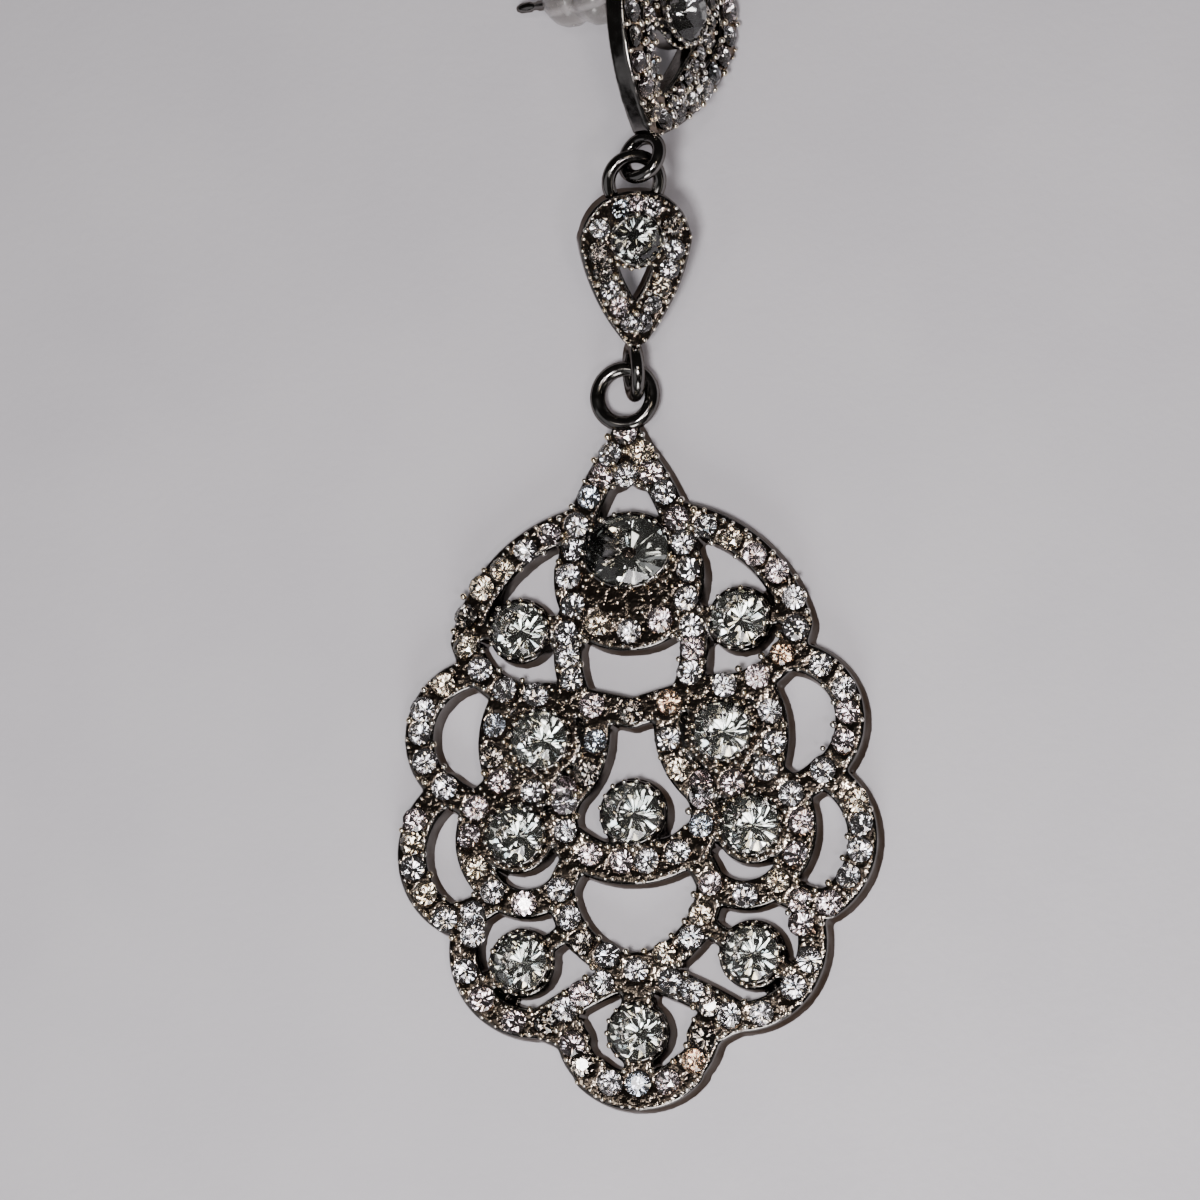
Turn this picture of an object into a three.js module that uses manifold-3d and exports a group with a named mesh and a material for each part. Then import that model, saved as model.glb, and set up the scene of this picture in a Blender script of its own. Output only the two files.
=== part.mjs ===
// A chandelier earring lying on a table, in millimetres, +Z up.
//
// Three cast pieces hang in a row along Y: a large openwork drop, a small pear link and a pear stud
// with an ear post. Each casting is a flat openwork of bands one stone wide, with a round cup for
// each large stone, and the castings hang on each other by soldered rings. The drop lies flat, the
// link climbs from it, and the stud stands on its edge with its face turned to the right.

import * as THREE from 'three';
import { mergeVertices } from 'three/addons/utils/BufferGeometryUtils.js';
import Module from 'manifold-3d';

const wasm = await Module();
wasm.setup();

// ---- Driving dimensions --------------------------------------------------------------------------

const DROP_HEIGHT = 2.0;      // height of the drop's side walls
const LINK_HEIGHT = 1.9;
const STUD_HEIGHT = 1.7;
const CHORD = 1.6;            // length of the straight stretches that make up a band's arc
const END_STEPS = 4;          // stretches in a band's round end
const ROUND_SIDES = 16;       // sides of cups and stones
const WIRE_SIDES = 8;         // sides of a ring's wire
const RING_STEPS = 16;        // stretches round a ring

const CUP_HEIGHT = 2.7;       // height of a large stone's cup above the casting's back
const CUP_WALL = 0.4;         // cup's wall outside the stone
const SEAT_HEIGHT = 1.2;      // floor of the stone's seat
const STONE_GAP = 0.1;        // between a stone and its cup
const GIRDLE_HEIGHT = 2.5;    // widest level of a large stone
const CROWN_HEIGHT = 0.75;    // from girdle to table
const TABLE_RATIO = 0.6;      // table's width to the stone's
const GIRDLE_THICKNESS = 0.15;
const CULET_RATIO = 0.35;     // flat under the stone

const DROP_RING = { y: 52.2, z: 1.85, radius: 2.08, wire: 0.48 };
const LINK_LOOP = { y: -1.9, z: 1.0, radius: 1.83, wire: 0.47 };
const LINK_RING = { y: 12.3, z: 1.0, radius: 1.88, wire: 0.47 };
const STUD_LOOP = { y: -1.6, z: 1.0, radius: 1.55, wire: 0.45 };

const LOOP_IN_RING = new THREE.Vector3(0.8, 54.0, 2.3);   // where the link's loop hangs
const LINK_POSE = { heading: -8.5, climb: 27, roll: 26, lean: 0 };   // degrees
const STUD_POSE = { heading: -5, climb: 0, roll: 66, lean: -12 };
const STUD_HANG = new THREE.Vector3(0.7, 1.65, 0.4);     // stud's loop from the link's ring

// The ear post is soldered to a small round plate on the stud's back, above the large stone.
const POST = { x: -1, y: 11.8, radius: 0.4, length: 13.8, rootDepth: 0.5, plate: 1.6 };
const CLUTCH_GAP = 4.2;       // between the stud's back and the clutch, slid partly on
const CLUTCH_PROFILE = [      // along the post, from the stud outwards
  { along: 0.0, radius: 0.55 },
  { along: 0.0, radius: 1.3 },
  { along: 0.6, radius: 1.95 },
  { along: 1.4, radius: 2.1 },
  { along: 2.2, radius: 1.85 },
  { along: 2.8, radius: 1.5 },
  { along: 3.5, radius: 1.95 },
  { along: 4.4, radius: 1.9 },
  { along: 5.2, radius: 1.5 },
  { along: 6.1, radius: 0.8 },
  { along: 6.1, radius: 0.55 },
];

// Each band follows an arc from one point through another to a third. Bands of the half to the
// right of the middle line are listed, and each is mirrored.
const DROP_BANDS = [
  { name: 'pear side', from: [0, 49.0], through: [3.05, 44.2], to: [4.45, 39.4], width: 2.1 },
  { name: 'pear foot', from: [4.45, 39.4], through: [3.5, 36.0], to: [0, 34.5], width: 2.4 },
  { name: 'pear top', from: [0, 49.2], through: [0.6, 47.9], to: [1.1, 46.7], width: 2.4 },
  { name: 'shoulder', from: [4.3, 42.9], through: [10.2, 39.2], to: [12.5, 34.6], width: 2.2 },
  { name: 'armpit', from: [12.55, 34.6], through: [10.5, 31.4], to: [6.4, 30.2], width: 2.1 },
  { name: 'neck', from: [4.3, 36.2], through: [4.75, 33.2], to: [4.1, 30.2], width: 2.1 },
  { name: 'bell top', from: [6.4, 30.2], through: [3.1, 29.5], to: [0, 28.7], width: 2.2 },
  { name: 'bell side', from: [2.9, 29.3], through: [2.75, 26.5], to: [4.3, 23.4], width: 2.1 },
  { name: 'bell hip', from: [4.3, 23.4], through: [5.25, 20.8], to: [4.2, 19.0], width: 2.1 },
  { name: 'bell foot', from: [4.5, 19.2], through: [2.4, 18.0], to: [0, 17.6], width: 2.8 },
  { name: 'lobe 1 inner', from: [9.2, 30.7], through: [10.55, 27.4], to: [9.9, 24.0], width: 2.1 },
  { name: 'lobe 1 outer', from: [11.7, 32.3], through: [16.05, 28.4], to: [14.1, 23.7], width: 2.2 },
  { name: 'middle row', from: [9.9, 24.0], through: [7.4, 23.4], to: [4.6, 23.3], width: 2.1 },
  { name: 'waist', from: [14.1, 23.9], through: [12.7, 22.9], to: [11.4, 22.4], width: 2.2 },
  { name: 'lobe 2 inner', from: [10.1, 23.8], through: [12.35, 20.4], to: [11.3, 17.0], width: 2.2 },
  { name: 'lobe 2 outer', from: [14.1, 23.7], through: [16.8, 19.2], to: [14.1, 14.3], width: 2.2 },
  { name: 'belt', from: [11.3, 17.0], through: [8.7, 15.2], to: [5.6, 16.2], width: 2.1 },
  { name: 'belt end', from: [14.2, 14.3], through: [12.4, 14.7], to: [10.4, 15.8], width: 2.1 },
  { name: 'hip tie', from: [5.6, 16.0], through: [4.9, 17.5], to: [4.0, 18.8], width: 2.1 },
  { name: 'vee', from: [0, 10.2], through: [3.8, 12.1], to: [5.6, 16.2], width: 2.1 },
  { name: 'lobe 3 outer', from: [12.2, 14.6], through: [12.1, 8.9], to: [7.4, 6.45], width: 2.2 },
  { name: 'lobe 3 inner', from: [7.4, 6.45], through: [4.6, 8.1], to: [1.2, 9.6], width: 2.1 },
  { name: 'tail join', from: [7.0, 6.4], through: [5.9, 5.9], to: [4.7, 5.2], width: 2.3 },
  { name: 'tail side', from: [5.0, 5.8], through: [4.55, 4.1], to: [3.5, 2.8], width: 2.3 },
  { name: 'tail', from: [3.5, 2.75], through: [1.9, 1.7], to: [0, 1.35], width: 2.7 },
  { name: 'tail neck', from: [0, 10.2], through: [0, 8.8], to: [0, 7.4], width: 2.4 },
  { name: 'tail foot', from: [0, 3.8], through: [0, 3.0], to: [0, 2.2], width: 2.2 },
  { name: 'bell foot tie', from: [0, 19.8], through: [0, 18.8], to: [0, 17.8], width: 2.4 },
  { name: 'oval top tie', from: [2.4, 42.3], through: [3.0, 42.7], to: [3.6, 43.1], width: 1.4 },
  { name: 'oval foot', from: [3.4, 38.3], through: [1.8, 37.0], to: [0, 36.6], width: 2.2 },
  { name: 'upper cup tie', from: [4.7, 35.6], through: [8.2, 35.5], to: [12.2, 35.2], width: 1.3 },
  { name: 'lower cup tie', from: [4.9, 13.3], through: [6.6, 12.1], to: [8.0, 11.2], width: 1.4 },
  { name: 'lower cup rest', from: [8.6, 10.6], through: [10.4, 9.9], to: [12.0, 9.4], width: 1.4 },
];

const LINK_BANDS = [
  { name: 'side', from: [0, 1.4], through: [2.05, 4.9], to: [2.95, 8.1], width: 2.5 },
  { name: 'top', from: [2.95, 8.1], through: [2.05, 10.0], to: [0, 10.6], width: 2.3 },
];

const STUD_BANDS = [
  { name: 'side', from: [0, 1.1], through: [3.8, 5.1], to: [6.1, 10.2], width: 2.1 },
  { name: 'top', from: [6.1, 10.2], through: [4.6, 13.8], to: [0, 15.4], width: 2.1 },
  { name: 'inner side', from: [0.8, 2.8], through: [2.6, 6.5], to: [3.7, 10.2], width: 1.8 },
  { name: 'inner top', from: [3.7, 10.2], through: [2.8, 12.7], to: [0, 14.2], width: 1.8 },
];

// Large stones. Those off the middle line have a twin on the other side. The pad is how far the
// casting reaches past a stone at the height of the bands.
const DROP_STONES = [
  { name: 'oval', x: 0, y: 40.6, radius: 2.6, stretch: 1.2, pad: 0.4 },
  { name: 'upper', x: 8.25, y: 35.2, radius: 2.0, stretch: 1, pad: 0.4 },
  { name: 'shoulder', x: 6.8, y: 27.05, radius: 2.05, stretch: 1, pad: 0.85 },
  { name: 'center', x: 0, y: 21.4, radius: 2.15, stretch: 1, pad: 0.4 },
  { name: 'middle', x: 8.75, y: 20.15, radius: 2.05, stretch: 1, pad: 0.7 },
  { name: 'lower', x: 8.55, y: 10.9, radius: 1.98, stretch: 1, pad: 0.5 },
  { name: 'bottom', x: 0, y: 5.6, radius: 1.95, stretch: 1, pad: 0.4 },
];
const LINK_STONE = { name: 'stone', x: 0, y: 8.3, radius: 1.75, stretch: 1, pad: 0.6 };
const STUD_STONE = { name: 'stone', x: 0, y: 10.0, radius: 2.2, stretch: 1, pad: 0.5 };

// ---- Materials -----------------------------------------------------------------------------------

const plated = new THREE.MeshStandardMaterial({ color: 0x8d8a88, roughness: 0.18, metalness: 1 });
const crystal = new THREE.MeshStandardMaterial({ color: 0xe9e7ea, roughness: 0.03, metalness: 0 });
const clear = new THREE.MeshStandardMaterial({ color: 0x9b9692, roughness: 0.25, metalness: 0 });

// ---- Solids --------------------------------------------------------------------------------------

// A closed geometry as a solid that can be joined and cut.
function solid(geometry) {
  const bare = geometry.clone();
  bare.deleteAttribute('normal');
  bare.deleteAttribute('uv');
  const merged = mergeVertices(bare, 1e-5);
  return new wasm.Manifold(new wasm.Mesh({
    numProp: 3,
    vertProperties: new Float32Array(merged.attributes.position.array),
    triVerts: new Uint32Array(merged.index.array),
  }));
}

function geometryOf(manifold) {
  const mesh = manifold.getMesh();
  const geometry = new THREE.BufferGeometry();
  geometry.setAttribute('position', new THREE.BufferAttribute(mesh.vertProperties, 3));
  geometry.setIndex(new THREE.BufferAttribute(mesh.triVerts, 1));
  geometry.computeVertexNormals();
  return geometry;
}

function union(solids) {
  return solids.reduce((whole, piece) => whole.add(piece));
}

function named(name, geometry, material) {
  const mesh = new THREE.Mesh(geometry, material);
  mesh.name = name;
  return mesh;
}

// Points along the circle through three points, or along the line when they lie on one.
function arc(from, through, to) {
  const [a, b, c] = [from, through, to].map(([x, y]) => new THREE.Vector2(x, y));
  const cross = (b.x - a.x) * (c.y - a.y) - (b.y - a.y) * (c.x - a.x);
  if (Math.abs(cross) < 1e-6) return [a, c];
  const ab = b.lengthSq() - a.lengthSq();
  const ac = c.lengthSq() - a.lengthSq();
  const center = new THREE.Vector2(
    (ab * (c.y - a.y) - ac * (b.y - a.y)) / (2 * cross),
    (ac * (b.x - a.x) - ab * (c.x - a.x)) / (2 * cross),
  );
  const angleOf = (point) => Math.atan2(point.y - center.y, point.x - center.x);
  const full = 2 * Math.PI;
  const turn = Math.sign(cross);
  const sweep = ((turn * (angleOf(c) - angleOf(a))) % full + full) % full;
  const radius = a.distanceTo(center);
  const steps = Math.ceil(radius * sweep / CHORD);
  return Array.from({ length: steps + 1 }, (_, step) => {
    const angle = angleOf(a) + turn * sweep * step / steps;
    return new THREE.Vector2(Math.cos(angle), Math.sin(angle)).multiplyScalar(radius).add(center);
  });
}

// The outline of a band of one width along its middle line, with round ends.
function bandShape(points, width) {
  const half = width / 2;
  const directionAt = (index) => {
    const before = points[Math.max(index - 1, 0)];
    const after = points[Math.min(index + 1, points.length - 1)];
    return after.clone().sub(before).normalize();
  };
  const beside = (index, angle) => directionAt(index)
    .rotateAround(new THREE.Vector2(), angle).multiplyScalar(half).add(points[index]);
  const last = points.length - 1;
  const right = points.map((_, index) => beside(index, -Math.PI / 2));
  const left = points.map((_, index) => beside(index, Math.PI / 2)).reverse();
  const roundEnd = (index, start) => Array.from({ length: END_STEPS - 1 }, (_, step) =>
    beside(index, start + Math.PI * (step + 1) / END_STEPS));
  return new THREE.Shape([
    ...right,
    ...roundEnd(last, -Math.PI / 2),
    ...left,
    ...roundEnd(0, Math.PI / 2),
  ]);
}

// A casting's bands on both sides of its middle line.
function bandSolids(bands, height) {
  const flip = ([x, y]) => [-x, y];
  return bands.flatMap(({ from, through, to, width }) => {
    const path = [from, through, to];
    const liesOnMiddle = path.every(([x]) => x === 0);
    const paths = liesOnMiddle ? [path] : [path, path.map(flip)];
    return paths.map((row) => solid(new THREE.ExtrudeGeometry(
      bandShape(arc(...row), width), { depth: height, bevelEnabled: false })));
  });
}

// A round or oval disc between two levels of the casting.
function disc({ x, y, radius, stretch }, margin, bottom, top) {
  const outline = new THREE.Shape(Array.from({ length: ROUND_SIDES }, (_, step) => {
    const angle = 2 * Math.PI * step / ROUND_SIDES;
    return new THREE.Vector2(x + (radius * stretch + margin) * Math.sin(angle),
      y + (radius + margin) * Math.cos(angle));
  }));
  const geometry = new THREE.ExtrudeGeometry(outline, { depth: top - bottom, bevelEnabled: false });
  geometry.translate(0, 0, bottom);
  return solid(geometry);
}

// A stone's cup stands on the casting from the level of the seat's floor.
const cup = (stone) => disc(stone, CUP_WALL, SEAT_HEIGHT, CUP_HEIGHT);
const seat = (stone) => disc(stone, STONE_GAP, SEAT_HEIGHT, CUP_HEIGHT + 1);

// A cut stone: flat table, sloping crown, thin girdle and a pavilion that ends in a small flat.
function stoneGeometry({ x, y, radius, stretch }) {
  const profile = [
    [0, SEAT_HEIGHT + STONE_GAP],
    [radius * CULET_RATIO, SEAT_HEIGHT + STONE_GAP],
    [radius, GIRDLE_HEIGHT - GIRDLE_THICKNESS],
    [radius, GIRDLE_HEIGHT],
    [radius * TABLE_RATIO, GIRDLE_HEIGHT + CROWN_HEIGHT],
    [0, GIRDLE_HEIGHT + CROWN_HEIGHT],
  ];
  const geometry = new THREE.LatheGeometry(
    profile.map(([across, up]) => new THREE.Vector2(across, up)), ROUND_SIDES);
  geometry.rotateX(Math.PI / 2);
  geometry.scale(stretch, 1, 1);
  geometry.translate(x, y, 0);
  return geometryOf(solid(geometry));
}

// A ring of round wire. A flat ring lies in the casting's plane, a loop stands across it.
function ring({ y, z, radius, wire }, standsAcross) {
  const geometry = new THREE.TorusGeometry(radius, wire, WIRE_SIDES, RING_STEPS);
  if (standsAcross) geometry.rotateY(Math.PI / 2);
  geometry.translate(0, y, z);
  return solid(geometry);
}

// A stone's twin stands on the other side of the middle line.
const withTwins = (stones) => stones.flatMap((stone) => (stone.x === 0
  ? [stone]
  : [{ ...stone, name: `${stone.name}_left`, x: -stone.x },
    { ...stone, name: `${stone.name}_right` }]));

// A casting: its bands, the pads and cups of its stones and its rings in one solid, with the
// stones' seats cut out.
function casting(bands, stones, rings, height) {
  const pads = stones.map((stone) => disc(stone, stone.pad, 0, height));
  const whole = union([...bandSolids(bands, height), ...pads, ...stones.map(cup), ...rings]);
  return stones.reduce((body, stone) => body.subtract(seat(stone)), whole);
}

function earPost() {
  const length = POST.length + POST.rootDepth;
  const geometry = new THREE.CylinderGeometry(POST.radius, POST.radius, length, WIRE_SIDES * 2);
  geometry.rotateX(Math.PI / 2);
  geometry.translate(POST.x, POST.y, POST.rootDepth - length / 2);
  return solid(geometry);
}

// The small plate on the stud's back that the post is soldered to.
function postPlate() {
  return disc({ x: POST.x, y: POST.y, radius: POST.plate, stretch: 1 }, 0, 0, SEAT_HEIGHT);
}

function clutchGeometry() {
  const profile = CLUTCH_PROFILE.map(({ along, radius }) => new THREE.Vector2(radius, along));
  const geometry = new THREE.LatheGeometry([...profile, profile[0].clone()], ROUND_SIDES);
  geometry.rotateX(-Math.PI / 2);
  geometry.translate(POST.x, POST.y, -CLUTCH_GAP);
  return geometryOf(solid(geometry));
}

// ---- The three castings --------------------------------------------------------------------------

const dropStones = withTwins(DROP_STONES);
const drop = new THREE.Group();
drop.add(named('drop_frame',
  geometryOf(casting(DROP_BANDS, dropStones, [ring(DROP_RING, false)], DROP_HEIGHT)), plated));
for (const stone of dropStones) {
  drop.add(named(`drop_stone_${stone.name}`, stoneGeometry(stone), crystal));
}

const link = new THREE.Group();
link.add(named('link_frame', geometryOf(casting(LINK_BANDS, [LINK_STONE],
  [ring(LINK_LOOP, true), ring(LINK_RING, false)], LINK_HEIGHT)), plated));
link.add(named('link_stone', stoneGeometry(LINK_STONE), crystal));

const stud = new THREE.Group();
const studBody = casting(STUD_BANDS, [STUD_STONE], [ring(STUD_LOOP, true)], STUD_HEIGHT);
stud.add(named('stud_frame', geometryOf(union([studBody, postPlate(), earPost()])), plated));
stud.add(named('stud_stone', stoneGeometry(STUD_STONE), crystal));
stud.add(named('ear_clutch', clutchGeometry(), clear));

// ---- How they lie --------------------------------------------------------------------------------

// Leans a group in its own plane, rolls it about its length, raises its upper end and turns it on
// the table, then moves it so that one of its own points comes to a place.
function hang(group, { heading, climb, roll, lean }, point, place) {
  const turns = [
    [new THREE.Vector3(0, 0, 1), heading],
    [new THREE.Vector3(1, 0, 0), climb],
    [new THREE.Vector3(0, 1, 0), roll],
    [new THREE.Vector3(0, 0, 1), lean],
  ];
  for (const [axis, degrees] of turns) {
    group.quaternion.multiply(new THREE.Quaternion()
      .setFromAxisAngle(axis, THREE.MathUtils.degToRad(degrees)));
  }
  group.position.copy(place).sub(point.clone().applyQuaternion(group.quaternion));
  group.updateMatrix();
}

const ringCenter = ({ y, z }) => new THREE.Vector3(0, y, z);
hang(link, LINK_POSE, ringCenter(LINK_LOOP), LOOP_IN_RING);
const linkRingPlace = ringCenter(LINK_RING).applyMatrix4(link.matrix);
hang(stud, STUD_POSE, ringCenter(STUD_LOOP), linkRingPlace.add(STUD_HANG));

// The origin is on the table, under the middle of the whole earring.
const earring = new THREE.Group();
earring.add(drop, link, stud);
earring.updateMatrixWorld(true);
const box = new THREE.Box3().setFromObject(earring, true);
const middle = box.getCenter(new THREE.Vector3());
earring.position.set(-middle.x, -middle.y, -box.min.z);

export default earring;
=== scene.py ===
# %% [markdown]
# # A chandelier earring lying on a table
# Three cast openwork plates hang on each other by soldered rings: a large drop, a small link and a
# stud with its ear post. Crystals sit in cups, and every band is paved with small stones held by
# beads of metal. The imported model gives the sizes, and this lesson makes the surfaces around it.
# Lengths are written in millimetres, and a finished piece is scaled to metres once, at its end.

# %% Load the frame
import math
import random

import bmesh
import bpy
from mathutils import Matrix, Vector
from mathutils.kdtree import KDTree


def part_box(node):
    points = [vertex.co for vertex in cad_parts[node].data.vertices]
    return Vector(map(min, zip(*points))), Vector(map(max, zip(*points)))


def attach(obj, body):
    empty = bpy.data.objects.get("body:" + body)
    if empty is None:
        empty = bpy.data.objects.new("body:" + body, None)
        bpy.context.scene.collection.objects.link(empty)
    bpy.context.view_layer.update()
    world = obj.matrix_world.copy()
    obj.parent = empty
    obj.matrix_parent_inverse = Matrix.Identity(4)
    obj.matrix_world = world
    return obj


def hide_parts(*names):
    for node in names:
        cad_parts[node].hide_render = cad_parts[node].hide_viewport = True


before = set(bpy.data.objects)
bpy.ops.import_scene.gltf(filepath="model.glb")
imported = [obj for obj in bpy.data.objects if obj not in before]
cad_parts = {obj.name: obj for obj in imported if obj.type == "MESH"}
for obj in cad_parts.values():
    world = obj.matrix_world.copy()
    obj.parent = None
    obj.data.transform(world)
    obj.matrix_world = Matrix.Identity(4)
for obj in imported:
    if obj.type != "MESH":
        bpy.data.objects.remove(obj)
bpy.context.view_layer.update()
MM = 0.001

# %% [markdown]
# ## Where the three castings lie
# Each casting is drawn flat, in its own frame, with its middle line along Y and its back at zero.
# The drop lies flat on the table. The link climbs from the drop's ring, and the stud stands on its
# edge, so these two are turned about the middle of the loop that they hang by.

# %% Places of the castings
DROP_RING = dict(y=52.2, z=1.85, radius=2.08, wire=0.57, across=False)
LINK_LOOP = dict(y=-1.9, z=1.0, radius=1.83, wire=0.51, across=True)
LINK_RING = dict(y=12.3, z=1.0, radius=1.88, wire=0.51, across=False)
STUD_LOOP = dict(y=-1.6, z=1.0, radius=1.55, wire=0.5, across=True)


def middle_of(ring):
    return Vector((0, ring["y"], ring["z"]))


def hung(turns, point, place):
    """The matrix that turns a casting by (degrees, axis) in a row and brings a point to a place."""
    turn = Matrix.Identity(3)
    for degrees, axis in turns:
        turn = turn @ Matrix.Rotation(math.radians(degrees), 3, axis)
    return Matrix.Translation(place - turn @ point) @ turn.to_4x4()


drop_foot = Vector((0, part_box("drop_frame")[0][1] / MM, 0))
DROP_PLACE = Matrix.Translation(drop_foot)
LOOP_IN_RING = Vector((0.8, 54.0, 2.3))
LINK_PLACE = hung([(-8.5, "Z"), (27, "X"), (26, "Y")], middle_of(LINK_LOOP), LOOP_IN_RING + drop_foot)
STUD_HANG = Vector((0.7, 1.65, 0.4))
STUD_PLACE = hung([(-5, "Z"), (66, "Y"), (-12, "Z")], middle_of(STUD_LOOP),
                  LINK_PLACE @ middle_of(LINK_RING) + STUD_HANG)
print("stud's loop in mm:", [round(value, 2) for value in STUD_PLACE @ middle_of(STUD_LOOP)])

# %% [markdown]
# ## The openwork
# A casting like this is carved in wax as a net of bands, one stone wide, then cast in one piece.
# A table of arcs draws the net: each band runs from one point through another to a third, and the
# half on the right is mirrored.

# %% The bands
DROP_BANDS = [
    ("pear side", (0, 49.0), (3.05, 44.2), (4.45, 39.4), 2.1),
    ("pear foot", (4.45, 39.4), (3.5, 36.0), (0, 34.5), 2.4),
    ("pear top", (0, 49.2), (0.6, 47.9), (1.1, 46.7), 2.4),
    ("shoulder", (4.3, 42.9), (10.2, 39.2), (12.5, 34.6), 2.2),
    ("armpit", (12.55, 34.6), (10.5, 31.4), (6.4, 30.2), 2.1),
    ("neck", (4.3, 36.2), (4.75, 33.2), (4.1, 30.2), 2.1),
    ("bell top", (6.4, 30.2), (3.1, 29.5), (0, 28.7), 2.2),
    ("bell side", (2.9, 29.3), (2.75, 26.5), (4.3, 23.4), 2.1),
    ("bell hip", (4.3, 23.4), (5.25, 20.8), (4.2, 19.0), 2.1),
    ("bell foot", (4.5, 19.2), (2.4, 18.0), (0, 17.6), 2.8),
    ("lobe 1 inner", (9.2, 30.7), (10.55, 27.4), (9.9, 24.0), 2.1),
    ("lobe 1 outer", (11.7, 32.3), (16.05, 28.4), (14.1, 23.7), 2.2),
    ("middle row", (9.9, 24.0), (7.4, 23.4), (4.6, 23.3), 2.1),
    ("waist", (14.1, 23.9), (12.7, 22.9), (11.4, 22.4), 2.2),
    ("lobe 2 inner", (10.1, 23.8), (12.35, 20.4), (11.3, 17.0), 2.2),
    ("lobe 2 outer", (14.1, 23.7), (16.8, 19.2), (14.1, 14.3), 2.2),
    ("belt", (11.3, 17.0), (8.7, 15.2), (5.6, 16.2), 2.1),
    ("belt end", (14.2, 14.3), (12.4, 14.7), (10.4, 15.8), 2.1),
    ("hip tie", (5.6, 16.0), (4.9, 17.5), (4.0, 18.8), 2.1),
    ("vee", (0, 10.2), (3.8, 12.1), (5.6, 16.2), 2.1),
    ("lobe 3 outer", (12.2, 14.6), (12.1, 8.9), (7.4, 6.45), 2.2),
    ("lobe 3 inner", (7.4, 6.45), (4.6, 8.1), (1.2, 9.6), 2.1),
    ("tail join", (7.0, 6.4), (5.9, 5.9), (4.7, 5.2), 2.3),
    ("tail side", (5.0, 5.8), (4.55, 4.1), (3.5, 2.8), 2.3),
    ("tail", (3.5, 2.75), (1.9, 1.7), (0, 1.35), 2.7),
    ("tail neck", (0, 10.2), (0, 8.8), (0, 7.4), 2.4),
    ("ring foot", (0, 49.9), (0, 49.5), (0, 49.1), 1.7),
    ("tail foot", (0, 3.8), (0, 3.0), (0, 2.2), 2.2),
    ("bell foot tie", (0, 19.8), (0, 18.8), (0, 17.8), 2.4),
    ("oval top tie", (2.4, 42.3), (3.0, 42.7), (3.6, 43.1), 1.4),
    ("oval foot", (3.4, 38.3), (1.8, 37.0), (0, 36.6), 2.2),
    ("upper cup tie", (4.7, 35.6), (8.2, 35.5), (12.2, 35.2), 1.3),
    ("lower cup tie", (4.9, 13.3), (6.6, 12.1), (8.0, 11.2), 1.4),
    ("lower cup rest", (8.6, 10.6), (10.4, 9.9), (12.0, 9.4), 1.4),
]
LINK_BANDS = [
    ("side", (0, 1.4), (2.05, 4.9), (2.95, 8.1), 2.5),
    ("top", (2.95, 8.1), (2.05, 10.0), (0, 10.6), 2.3),
]
STUD_BANDS = [
    ("side", (0, 1.1), (3.8, 5.1), (6.1, 10.2), 2.1),
    ("top", (6.1, 10.2), (4.6, 13.8), (0, 15.4), 2.1),
    ("inner side", (0.8, 2.8), (2.6, 6.5), (3.7, 10.2), 1.8),
    ("inner top", (3.7, 10.2), (2.8, 12.7), (0, 14.2), 1.8),
]
HAIR = 1e-3


def circle_through(start, through, end):
    """Centre, radius, first angle and sweep of an arc. A straight one is bent by a hair."""
    a, b, c = (Vector(point) for point in (start, through, end))
    if abs((b - a).cross(c - a)) < HAIR:
        b.x += 2 * HAIR
    double = 2 * (b - a).cross(c - a)
    ab = b.length_squared - a.length_squared
    ac = c.length_squared - a.length_squared
    center = Vector((ab * (c.y - a.y) - ac * (b.y - a.y), ac * (b.x - a.x) - ab * (c.x - a.x)))
    center /= double
    first, last = (math.atan2(*(point - center).yx) for point in (a, c))
    turn = math.copysign(1, double)
    sweep = turn * ((turn * (last - first)) % math.tau)
    return center, (a - center).length, first, sweep


def with_mirror(bands):
    """Every band's three points and width, on both sides of the middle line."""
    for name, *points, width in bands:
        yield points, width
        if any(x for x, y in points):
            yield [(-x, y) for x, y in points], width


print(len(list(with_mirror(DROP_BANDS))), "bands in the drop")

# %% [markdown]
# A band could be a curve with a bevel object, but its ends would stay open. Spinning a small face
# round the arc's centre gives a closed bar at once, and a round stub closes each end. The draft says
# how far a wall's foot stands outside its rim: the drop's walls spread, and the others' pull in.

# %% One band
RIM = 0.14
STEP = 0.5


def add_band(bm, points, width, height, draft):
    center, radius, first, sweep = circle_through(*points)
    half = width / 2
    outwards = Vector((math.cos(first), math.sin(first)))
    section = [(-half - draft, 0), (half + draft, 0), (half, height - RIM), (half - RIM, height),
               (RIM - half, height), (-half, height - RIM)]
    corners = [bm.verts.new((*(center + outwards * (radius + across)), up)) for across, up in section]
    face = bm.faces.new(corners)
    steps = max(4, math.ceil(abs(sweep) * radius / STEP))
    bmesh.ops.spin(bm, geom=[*corners, *face.edges, face], cent=(*center, 0), axis=(0, 0, 1),
                   angle=sweep, steps=steps)
    for x, y in (points[0], points[-1]):
        add_pad(bm, x, y, half, half, height, draft)


def add_pad(bm, x, y, across, along, height, draft):
    """A leaning round or oval stub, as at a band's end or under a stone."""
    bmesh.ops.create_cone(
        bm, cap_ends=True, segments=32, radius1=1 + draft / across, radius2=1, depth=height,
        matrix=Matrix.Translation((x, y, height / 2)) @ Matrix.Diagonal((across, along, 1, 1)))


# %% [markdown]
# ## From overlapping bars to one casting
# The bars overlap, so they need joining into one skin with soft inside corners, where molten metal
# flows. A voxel remesh does both: it forgets what is inside, and a light smoothing after it rounds
# the rims and fills the crotches. It is much surer here than dozens of boolean joins.

# %% Cast a net of bands
SMOOTHING = 8


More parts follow.
